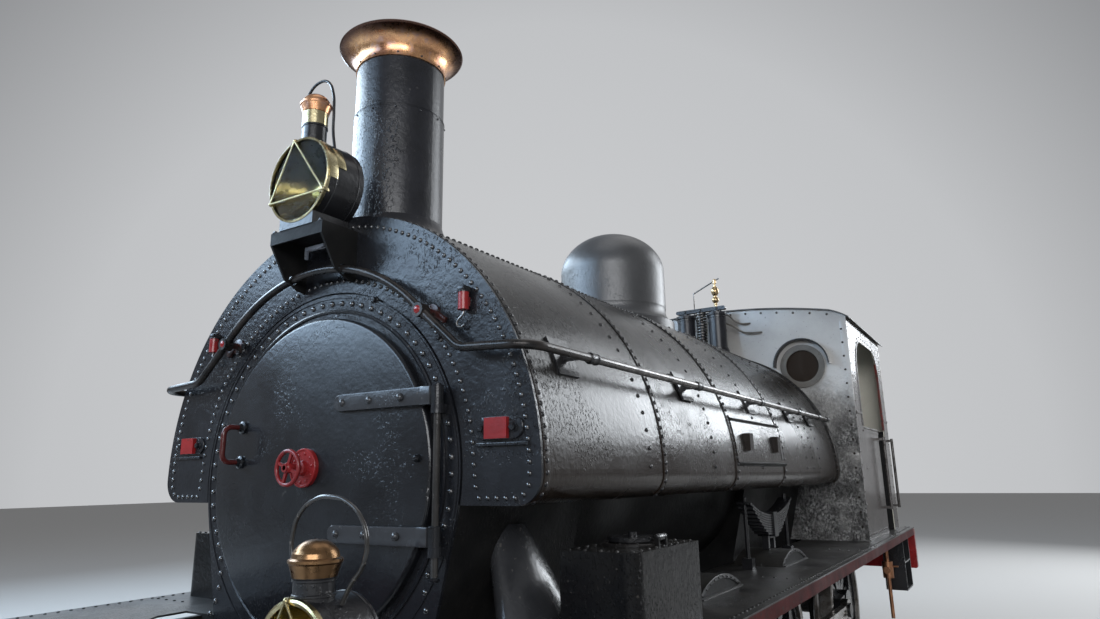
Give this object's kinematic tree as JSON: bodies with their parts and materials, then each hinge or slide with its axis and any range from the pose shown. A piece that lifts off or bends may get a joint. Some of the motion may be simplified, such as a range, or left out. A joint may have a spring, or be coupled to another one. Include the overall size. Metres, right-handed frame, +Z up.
{
  "type": "steam saddle tank locomotive",
  "caption": "Small saddle tank steam locomotive with open-sided cab, tall capped chimney, dome, buffers, turning wheels with coupling rods, and opening smokebox door and lids.",
  "frame": {"origin": "midway between the buffer faces on the centre line, at the lowest point of the wheel flanges", "axes": "+X to the locomotive's left, +Y to its rear (the chimney end faces -Y), +Z up"},
  "size_m": [2.69, 8.52, 3.735],
  "materials": {
    "black_paint": "gloss",
    "tank_black": "gloss",
    "red_paint": "gloss",
    "cab_grey": "satin",
    "copper": "polished",
    "brass": "polished",
    "bright_steel": "brushed",
    "tyre_steel": "worn bright tread",
    "iron": "rough",
    "glass": "clear"
  },
  "bodies": {
    "locomotive": {"axleboxes": "iron", "backhead_fittings": "brass", "boiler": "black_paint", "brake_beams": "black_paint", "brake_hangers": "black_paint", "buffer_beams": "red_paint", "buffers": "black_paint", "cab_floor": "black_paint", "cab_front": "cab_grey", "cab_rear": "cab_grey", "cab_roof": "black_paint", "cab_side_left": "cab_grey", "cab_side_right": "cab_grey", "cab_steps": "black_paint", "chimney": "black_paint", "chimney_cap": "copper", "coal_bunker": "black_paint", "cylinder_block": "iron", "dome": "black_paint", "drawhooks": "black_paint", "frame_stretchers": "black_paint", "handrail": "black_paint", "handrail_brackets": "black_paint", "headlamps": "black_paint", "injector_pipes": "copper", "lamp_bracket": "black_paint", "lamp_caps": "copper", "lamp_glasses": "glass", "leaf_springs": "black_paint", "main_frame_left": "black_paint", "main_frame_right": "black_paint", "running_plate": "black_paint", "saddle_tank": "tank_black", "safety_valves": "black_paint", "sandboxes": "black_paint", "smokebox": "black_paint", "smokebox_front": "black_paint", "steam_pipe_covers": "black_paint", "tank_front_plate": "tank_black", "tank_pads": "red_paint", "valances": "red_paint", "wheel_splashers": "black_paint", "whistle": "brass", "window_glass": "glass", "window_rims": "brass"},
    "wheelset_leading": {"leading_wheels": "black_paint", "leading_tyres": "tyre_steel"},
    "wheelset_driving": {"driving_wheels": "black_paint", "driving_tyres": "tyre_steel"},
    "wheelset_trailing": {"trailing_wheels": "black_paint", "trailing_tyres": "tyre_steel"},
    "rod_left": {"coupling_rod_left": "bright_steel"},
    "rod_right": {"coupling_rod_right": "bright_steel"},
    "front_door": {"smokebox_door": "black_paint", "door_fittings": "red_paint"},
    "fire_door": {"firehole_door": "iron"},
    "filler_lid": {"tank_filler_lid": "black_paint"},
    "sand_lid_left": {"sandbox_lid_left": "black_paint"},
    "sand_lid_right": {"sandbox_lid_right": "black_paint"}
  },
  "joints": [
    {"name": "driving_axle", "type": "hinge", "parent": "locomotive", "child": "wheelset_driving", "pos_m": [0, 0.19, 0.58], "axis": [1, 0, 0], "continuous": true},
    {"name": "leading_axle", "type": "hinge", "parent": "locomotive", "child": "wheelset_leading", "pos_m": [0, -1.16, 0.58], "axis": [1, 0, 0], "continuous": true},
    {"name": "trailing_axle", "type": "hinge", "parent": "locomotive", "child": "wheelset_trailing", "pos_m": [0, 2.16, 0.58], "axis": [1, 0, 0], "continuous": true},
    {"name": "left_crank_pin", "type": "hinge", "parent": "wheelset_driving", "child": "rod_left", "pos_m": [0.981, -0.07, 0.58], "axis": [1, 0, 0], "continuous": true},
    {"name": "right_crank_pin", "type": "hinge", "parent": "wheelset_driving", "child": "rod_right", "pos_m": [-0.981, 0.19, 0.32], "axis": [1, 0, 0], "continuous": true},
    {"name": "smokebox_door_hinge", "type": "hinge", "parent": "locomotive", "child": "front_door", "pos_m": [0.645, -2.742, 1.695], "axis": [0, 0, 1], "range_deg": [0, 90]},
    {"name": "firehole_door_hinge", "type": "hinge", "parent": "locomotive", "child": "fire_door", "pos_m": [0.252, 2.0563, 1.42], "axis": [0, 0, -1], "range_deg": [0, 100]},
    {"name": "tank_filler_hinge", "type": "hinge", "parent": "locomotive", "child": "filler_lid", "pos_m": [0, 0.699, 2.8293], "axis": [-1, 0, 0], "range_deg": [0, 110]},
    {"name": "left_sandbox_hinge", "type": "hinge", "parent": "locomotive", "child": "sand_lid_left", "pos_m": [1.202, -2.165, 1.4523], "axis": [0, 1, 0], "range_deg": [0, 110]},
    {"name": "right_sandbox_hinge", "type": "hinge", "parent": "locomotive", "child": "sand_lid_right", "pos_m": [-1.202, -2.165, 1.4523], "axis": [0, -1, 0], "range_deg": [0, 110]}
  ],
  "couplings": [
    {"joint": "leading_axle", "follows": "driving_axle", "ratio": 1},
    {"joint": "trailing_axle", "follows": "driving_axle", "ratio": 1},
    {"joint": "left_crank_pin", "follows": "driving_axle", "ratio": -1},
    {"joint": "right_crank_pin", "follows": "driving_axle", "ratio": -1}
  ]
}
